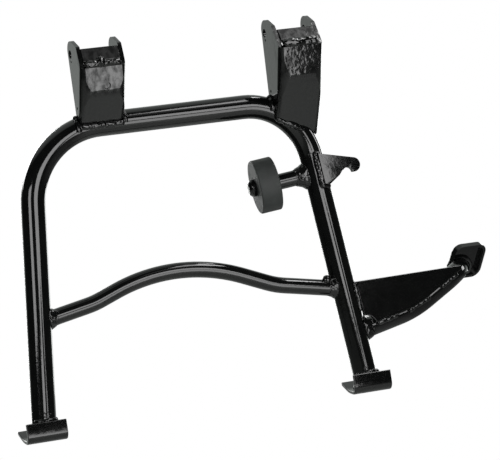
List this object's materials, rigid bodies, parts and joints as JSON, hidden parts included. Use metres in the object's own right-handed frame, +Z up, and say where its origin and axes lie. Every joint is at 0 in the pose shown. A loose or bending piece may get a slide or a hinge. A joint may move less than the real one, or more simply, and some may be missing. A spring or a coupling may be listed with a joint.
{
  "type": "motorcycle centre stand",
  "caption": "Welded tube centre stand for a motorcycle: hoop with folded pivot brackets, bowed brace, folded feet, rubber stop, spring hook and foot lever.",
  "frame": {"origin": "on the pivot axis, halfway between the two pivot brackets", "axes": "+X along the pivot axis towards the foot lever, +Z up from the feet to the pivots, +Y towards the back of the stand, away from the brackets' webs"},
  "size_m": [0.5207, 0.0966, 0.3831],
  "materials": {
    "black_paint": "gloss",
    "rubber": "matte"
  },
  "bodies": {
    "root": {"main_hoop": "black_paint", "cross_brace": "black_paint", "left_bracket": "black_paint", "right_bracket": "black_paint", "left_stop_plate": "black_paint", "right_stop_plate": "black_paint", "left_foot": "black_paint", "right_foot": "black_paint", "bumper_pin": "black_paint", "spring_hook": "black_paint", "lever_tube": "black_paint", "lever_gusset": "black_paint", "tread_pad": "black_paint", "left_bracket_weld": "black_paint", "right_bracket_weld": "black_paint", "left_stop_weld": "black_paint", "right_stop_weld": "black_paint", "left_foot_weld": "black_paint", "right_foot_weld": "black_paint", "brace_left_weld": "black_paint", "brace_right_weld": "black_paint", "bumper_pin_weld": "black_paint", "spring_hook_weld": "black_paint", "lever_tube_weld": "black_paint", "gusset_leg_weld": "black_paint", "gusset_tube_welds": "black_paint", "tread_pad_weld": "black_paint", "rubber_bumper": "rubber"}
  },
  "joints": []
}
